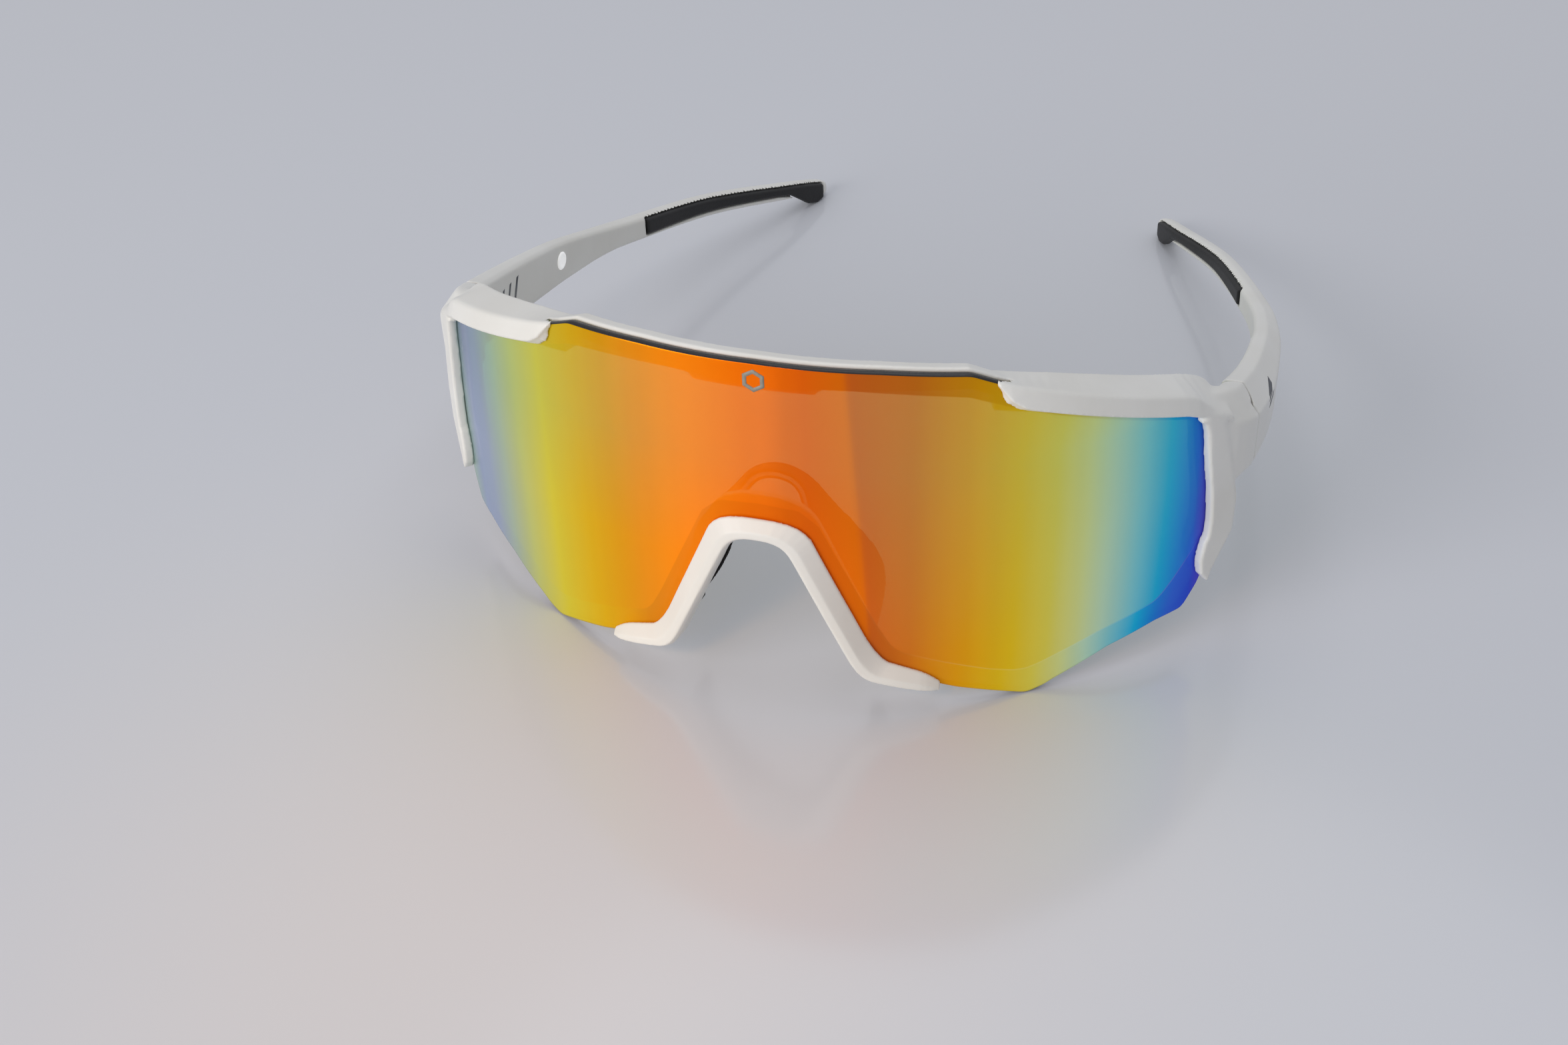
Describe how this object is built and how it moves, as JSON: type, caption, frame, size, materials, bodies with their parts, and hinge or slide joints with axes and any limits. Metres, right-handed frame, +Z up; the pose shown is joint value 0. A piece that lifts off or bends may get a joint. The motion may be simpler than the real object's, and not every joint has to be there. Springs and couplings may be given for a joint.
{
  "type": "wraparound sport sunglasses",
  "caption": "Sport sunglasses with a one-piece cylindrical shield lens, half-rim white front, clip-on nose trim and pad, and folding rubber-gripped temples.",
  "frame": {"origin": "centre of the bounding box's base, on the table that the glasses rest on", "axes": "+X towards the wearer's left, +Y back towards the temple tips, +Z up; the glasses stand open on the lens's two lowest corners and the two grip tips"},
  "size_m": [0.1446, 0.1598, 0.0642],
  "materials": {
    "white_plastic": "satin moulded nylon",
    "mirror_lens": "orange to blue mirror coat on tinted polycarbonate",
    "black_rubber": "matte soft rubber",
    "steel": "plain",
    "brass": "plain"
  },
  "bodies": {
    "front": {"front_frame": "white_plastic", "shield_lens": "mirror_lens", "nose_trim": "white_plastic", "nose_pad": "black_rubber", "nose_pad_core": "steel", "hinge_screw_left": "steel", "hinge_screw_right": "steel", "hinge_insert_left": "brass", "hinge_insert_right": "brass"},
    "left_temple": {"temple_left": "white_plastic", "temple_grip_left": "black_rubber"},
    "right_temple": {"temple_right": "white_plastic", "temple_grip_right": "black_rubber"}
  },
  "joints": [
    {"name": "left_temple_fold", "type": "hinge", "parent": "front", "child": "left_temple", "pos_m": [0.0675, -0.03561, 0.0357], "axis": [0, 0.0583, 0.9983], "range_deg": [0, 80]},
    {"name": "right_temple_fold", "type": "hinge", "parent": "front", "child": "right_temple", "pos_m": [-0.0675, -0.03561, 0.0357], "axis": [0, -0.0583, -0.9983], "range_deg": [0, 70]}
  ]
}
